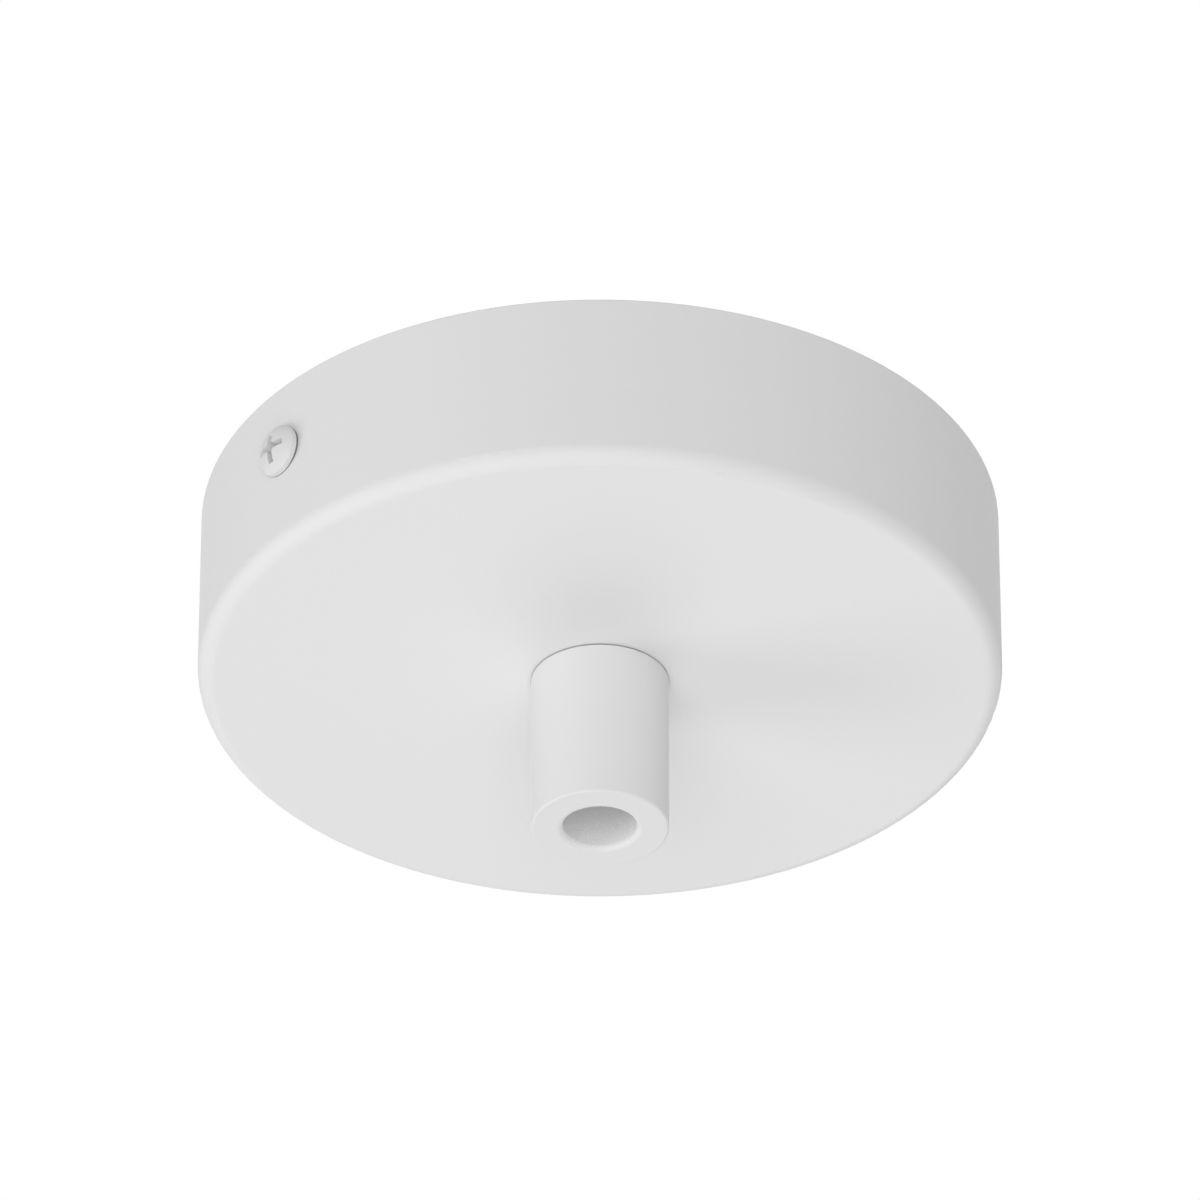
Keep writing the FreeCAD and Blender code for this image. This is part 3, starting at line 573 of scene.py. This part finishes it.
def domeOutline(radius, height, rim, foot):  # a low oval dome over a short rim that leans in
    arc = math.radians(domeHead["arc"])
    edge = domeHead["edge"]
    points = []
    for step in range(domeHead["steps"] + 1):
        angle = arc * step / domeHead["steps"]
        climb = (math.cos(angle) - math.cos(arc)) / (1 - math.cos(arc))
        points.append(((radius - edge) * math.sin(angle) / math.sin(arc),
                       rim + edge + (height - rim - edge) * climb))
    return points + [
        (radius - domeHead["edgeIn"], rim + domeHead["edgeUp"]),
        (radius, rim - domeHead["rimDown"]),
        (radius - domeHead["lean"], foot),
        (radius - domeHead["notchIn"] * foot, domeHead["notchRoof"] * foot),
        (radius - domeHead["seatIn"] * foot, 0),
    ]


def cheeseOutline(radius, height):  # a flat top, a bevel and an upright rim
    bevel, corner, foot = cheeseHead["bevelIn"], cheeseHead["corner"], cheeseHead["foot"]
    return [(0, height), (radius - bevel, height), (radius - corner, height - corner),
            (radius, height - bevel), (radius, foot), (radius - foot, 0)]


def screwSolid(look, radius, length):  # its head stands on z = 0 and its shank hangs below
    pitch, shankRadius = look["pitch"], look["shankRadius"]
    rod = threadedRod(shankRadius, pitch, -length, shank["reach"], shank["steps"],
                      chamfers=(shankRadius * shank["point"], 0))
    if "rim" in look:
        outline = domeOutline(radius, look["headHeight"], look["rim"], look.get("foot", domeHead["foot"]))
    else:
        outline = cheeseOutline(radius, look["headHeight"])
    neck = shankRadius - shank["neckIn"] * pitch
    drop = -shank["neckDrop"] * pitch
    blank = spunSolid(outline + [(neck, 0), (neck, drop), (0, drop)], shank["headSteps"])
    return carve(blank, [rod], "UNION")


sideScrew = {"headHeight": 2.0, "rim": 0.8, "foot": 0.08, "pitch": 0.7, "shankRadius": 2.0}
earthScrew = {"headHeight": 2.6, "rim": 0.8, "pitch": 0.7, "shankRadius": 2.0,
              "recessSpan": 4.4, "recessDepth": 2.3}
terminalScrew = {"headHeight": 1.6, "pitch": 0.5, "shankRadius": 1.5, "slot": 0.8, "slotDepth": 0.8}
blockScrew = {"headHeight": 2.0, "rim": 0.7, "pitch": 0.5, "shankRadius": 1.5,
              "slot": 0.8, "slotDepth": 0.9}
slotAngles = {  # where each slot came to rest, degrees
    "terminal_screw_1": 20, "terminal_screw_2": 75, "terminal_screw_3": -35, "terminal_screw_4": 50,
    "terminal_screw_5": 5, "terminal_screw_6": -60, "block_screw_left": 30, "block_screw_right": -20,
}
clampScrew = {"pitch": 0.7, "slot": 0.8, "slotDepth": 1.0, "steps": 40, "point": 0.35, "outerEdge": 0.2}


def makeSideScrews():
    low, high = millimetres("side_screw_right")
    head = sideScrew["headHeight"]
    blank = screwSolid(sideScrew, (high.y - low.y) / 2, high.x - low.x - head)
    blank = carve(blank, [crossCutter(head + cutter["above"], recess["span"], recess["arm"],
                                      recess["depth"])])
    seat = high.x - head
    level = (low.z + high.z) / 2
    for side, out in (("left", -1), ("right", 1)):
        place = axisPlace((out * seat, 0, level), (out, 0, 0), (0, 0, 1))
        setDown(blank.copy(), "sideScrew" + side.title(), "side_screw_" + side, place)
    blank.free()


def makeEarthScrew():
    low, high = millimetres("earth_screw")
    middle = (low + high) / 2
    head = earthScrew["headHeight"]
    bm = screwSolid(earthScrew, (high.x - low.x) / 2, high.y - low.y - head)
    bm = carve(bm, [crossCutter(head + cutter["above"], earthScrew["recessSpan"], recess["arm"],
                                earthScrew["recessDepth"])])
    place = axisPlace((middle.x, low.y + head, middle.z), (0, -1, 0), (1, 0, 0))
    setDown(bm, "earthScrew", "earth_screw", place)


def slotCutter(look, top):  # cuts a slot into a face at the height top
    return boxCutter(cutter["length"], look["slot"], cutter["height"],
                     (0, 0, top + cutter["height"] / 2 - look["slotDepth"]))


def slottedScrew(node, look):
    low, high = millimetres(node)
    blank = screwSolid(look, (high.x - low.x) / 2, high.z - low.z - look["headHeight"])
    return carve(blank, [slotCutter(look, look["headHeight"])])


def makeSlottedScrews():
    kinds = {
        "terminal": (slottedScrew("terminal_screw_1", terminalScrew), terminalScrew),
        "block": (slottedScrew("block_screw_left", blockScrew), blockScrew),
    }
    for node, angle in slotAngles.items():
        low, high = millimetres(node)
        middle = (low + high) / 2
        kind, *rest = node.split("_")
        blank, look = kinds[kind]
        along = Matrix.Rotation(math.radians(angle), 3, "Z") @ Vector((1, 0, 0))
        place = axisPlace((middle.x, middle.y, low.z + look["headHeight"]), (0, 0, -1), along)
        setDown(blank.copy(), kind + "".join(word.title() for word in rest), node, place)
    for blank, look in kinds.values():
        blank.free()


def makeClampScrew():
    low, high = millimetres("cord_clamp_screw")
    middle = (low + high) / 2
    bm = threadedRod((high.x - low.x) / 2, clampScrew["pitch"], low.y - high.y, 0, clampScrew["steps"],
                     chamfers=(clampScrew["point"], clampScrew["outerEdge"]))
    bm = carve(bm, [slotCutter(clampScrew, 0)])
    place = axisPlace((middle.x, high.y, middle.z), (0, 1, 0), (1, 0, 0))
    setDown(bm, "cordClampScrew", "cord_clamp_screw", place)


# Threaded nipple

nipple = {
    "pitch": 1.0, "bore": 7.6, "chamfer": 0.4, "steps": 96,
    "past": 2,  # the bore is cut this far past both ends
}


def makeNipple():
    low, high = millimetres("threaded_nipple")
    boreRadius = nipple["bore"] / 2
    bm = threadedRod((high.x - low.x) / 2, nipple["pitch"], low.z, high.z, nipple["steps"],
                     chamfers=(nipple["chamfer"], nipple["chamfer"]))
    bore = bmesh.new()
    bmesh.ops.create_cone(bore, cap_ends=True, segments=nipple["steps"], radius1=boreRadius,
                          radius2=boreRadius, depth=high.z - low.z + 2 * nipple["past"],
                          matrix=Matrix.Translation((0, 0, (high.z + low.z) / 2)))
    bm = carve(bm, [bore])
    setDown(bm, "threadedNipple", "threaded_nipple", Matrix())


# Lock washer

lockWasher = {
    "hole": 5.2, "ring": 7.0, "edge": 0.1, "steps": 96,
    "teeth": 12, "root": 6.6, "rootWidth": 2.2, "tipWidth": 1.5, "cuts": 5,
    "thickness": 0.44,  # a tooth is pressed thinner than the ring
    "twist": 12, "twistEnd": 0.625,  # degrees, reached at this share of its length
}


def washerRing(half):
    hole, ring, soft = lockWasher["hole"], lockWasher["ring"], lockWasher["edge"]
    bm = bmesh.new()
    outline = [(hole, -half), (ring - soft, -half), (ring, soft - half),
               (ring, half - soft), (ring - soft, half), (hole, half)]
    verts = [bm.verts.new((radius, 0, height)) for radius, height in outline]
    edges = [bm.edges.new((verts[step], verts[step - 1])) for step in range(len(verts))]
    bmesh.ops.spin(bm, geom=verts + edges, cent=(0, 0, 0), axis=(0, 0, 1), dvec=(0, 0, 0), angle=fullTurn,
                   steps=lockWasher["steps"], use_merge=True, use_normal_flip=False, use_duplicate=False)
    joinUp(bm)
    return bm


def washerTooth(tip, turn):  # it narrows and twists towards its tip
    root = lockWasher["root"]
    length = tip - root
    bm = boxCutter(length, 1, lockWasher["thickness"], (root + length / 2, 0, 0))  # 1 wide for now

    def atTip(vert):
        return vert.co.x > tip - near
    for vert in bm.verts:
        vert.co.y *= lockWasher["tipWidth"] if atTip(vert) else lockWasher["rootWidth"]
    roundOff(bm, lambda edge: all(atTip(vert) for vert in edge.verts), lockWasher["edge"], 2)
    along = [edge for edge in bm.edges if abs(edge.verts[0].co.x - edge.verts[1].co.x) > length / 2]
    bmesh.ops.subdivide_edges(bm, edges=along, cuts=lockWasher["cuts"], use_grid_fill=True)
    for vert in bm.verts:
        share = min(1, (vert.co.x - root) / length / lockWasher["twistEnd"])
        vert.co.yz = Matrix.Rotation(math.radians(lockWasher["twist"] * share), 2) @ vert.co.yz
    bmesh.ops.rotate(bm, verts=bm.verts, cent=(0, 0, 0), matrix=Matrix.Rotation(turn, 3, "Z"))
    bmesh.ops.recalc_face_normals(bm, faces=bm.faces)
    return bm


def makeLockWasher():
    low, high = millimetres("lock_washer")
    tip = (high.x - low.x) / 2
    step = fullTurn / lockWasher["teeth"]
    teeth = [washerTooth(tip, count * step) for count in range(lockWasher["teeth"])]
    bm = carve(washerRing((high.z - low.z) / 2), teeth, "UNION")
    setDown(bm, "lockWasher", "lock_washer", Matrix.Translation((0, 0, (low.z + high.z) / 2)))


# The scene, stage by stage

nodeSlots = {part["node"]: part["material_slot"] for part in frame["record"]["subparts"]}
nodeBodies = {node: body for body, nodes in frame["record"]["behaviour"]["bodies"].items()
              for node in nodes}
addCamera()
print("camera placed")
addStage()
print("stage and lamps placed")
dressFrame()
print("frame dressed")
makeSideScrews()
makeEarthScrew()
makeSlottedScrews()
makeClampScrew()
print("screws made")
makeNipple()
makeLockWasher()
print("nipple and lock washer made")
bpy.context.scene.view_settings.view_transform = "Standard"
